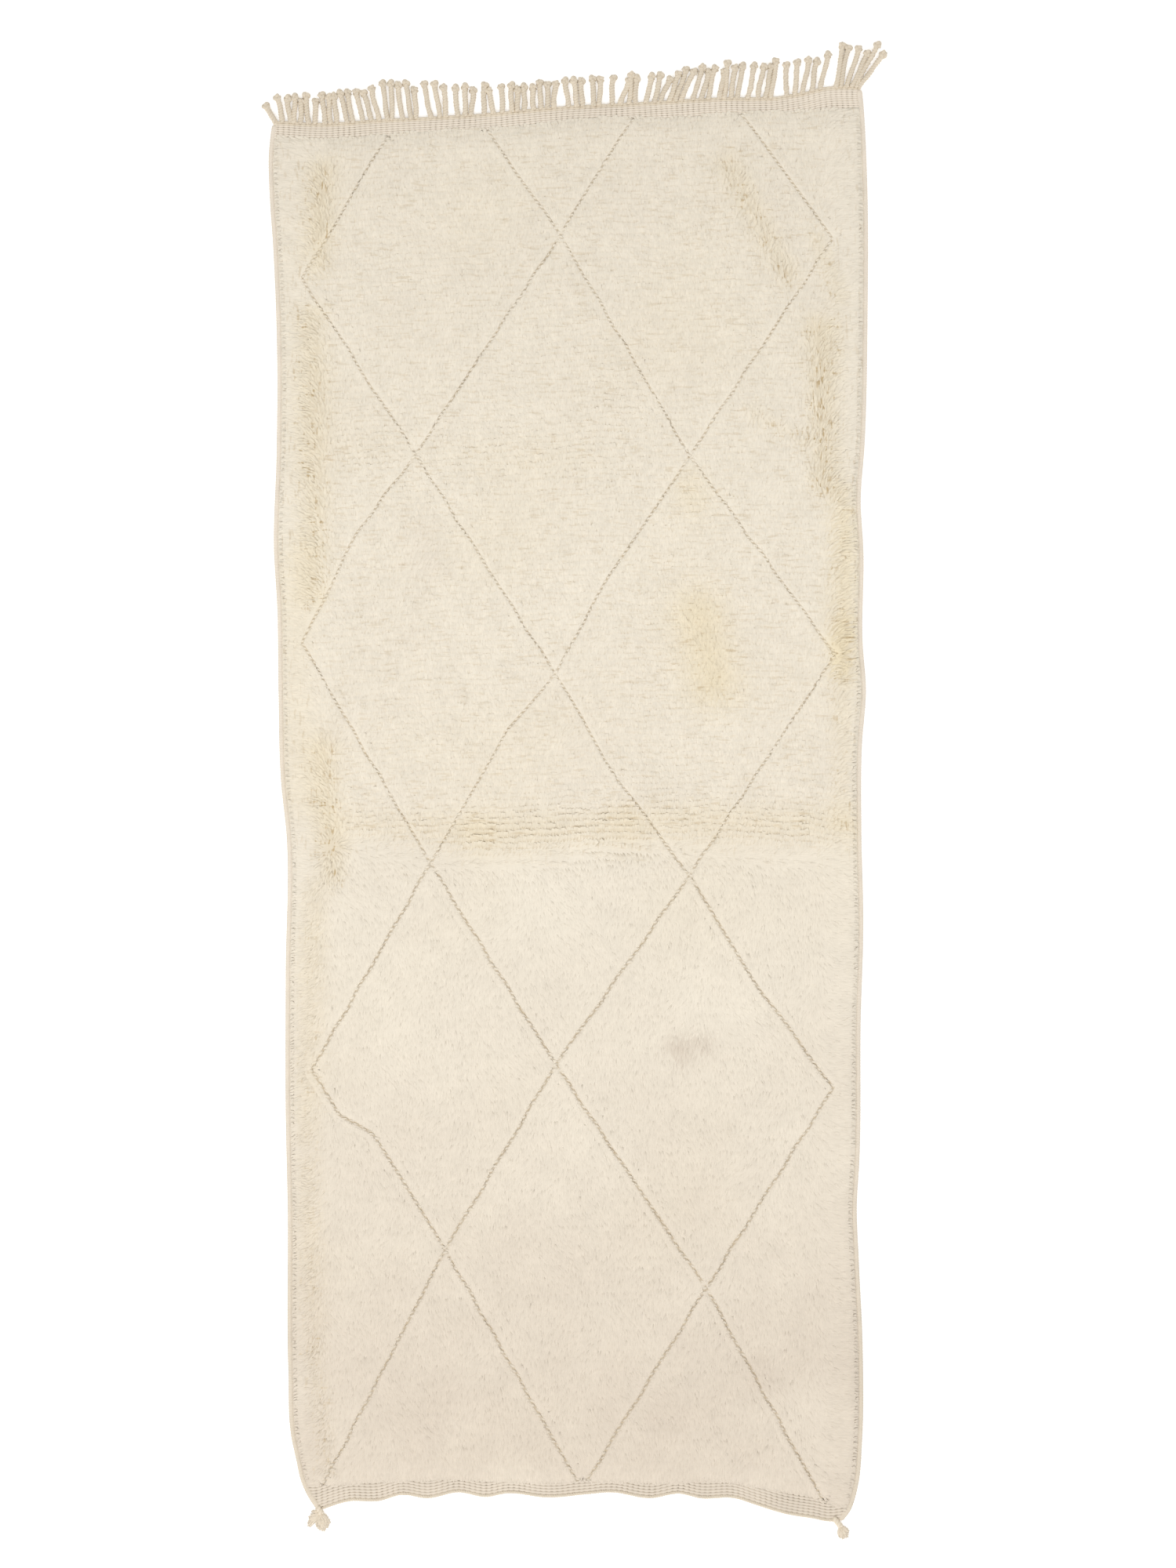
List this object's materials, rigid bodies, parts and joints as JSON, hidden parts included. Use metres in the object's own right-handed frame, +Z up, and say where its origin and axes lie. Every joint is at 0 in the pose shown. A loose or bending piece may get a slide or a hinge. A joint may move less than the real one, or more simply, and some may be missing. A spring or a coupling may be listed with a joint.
{
  "type": "beni ourain rug",
  "caption": "Hand-knotted ivory wool pile rug with a sunken diamond lattice, flat-woven ends, overcast side cords, knotted cord fringe at one end and a tuft at each corner of the other",
  "frame": {"origin": "on the floor plane under the middle of the rug's bounding box", "axes": "+X to the right across the width seen from above, +Y along the length towards the fringe, +Z up out of the pile"},
  "size_m": [0.9581, 2.2966, 0.0173],
  "materials": {
    "ivory_pile": "long soft brushed wool pile, undyed ivory, with a flat weft-faced weave at the ends and in the lattice grooves",
    "overcast_cord": "wool yarn overcast tightly round a side cord, undyed, slightly darker than the pile",
    "twisted_warp_cord": "two-ply twisted wool warp cord, slightly fuzzy, knotted at the tip",
    "brushed_warp_ends": "loose brushed wool yarn ends, undyed beige"
  },
  "bodies": {
    "root": {"rug_body": "ivory_pile", "selvedge_left": "overcast_cord", "selvedge_right": "overcast_cord", "fringe": "twisted_warp_cord", "corner_tuft_left": "brushed_warp_ends", "corner_tuft_right": "brushed_warp_ends"}
  },
  "joints": []
}
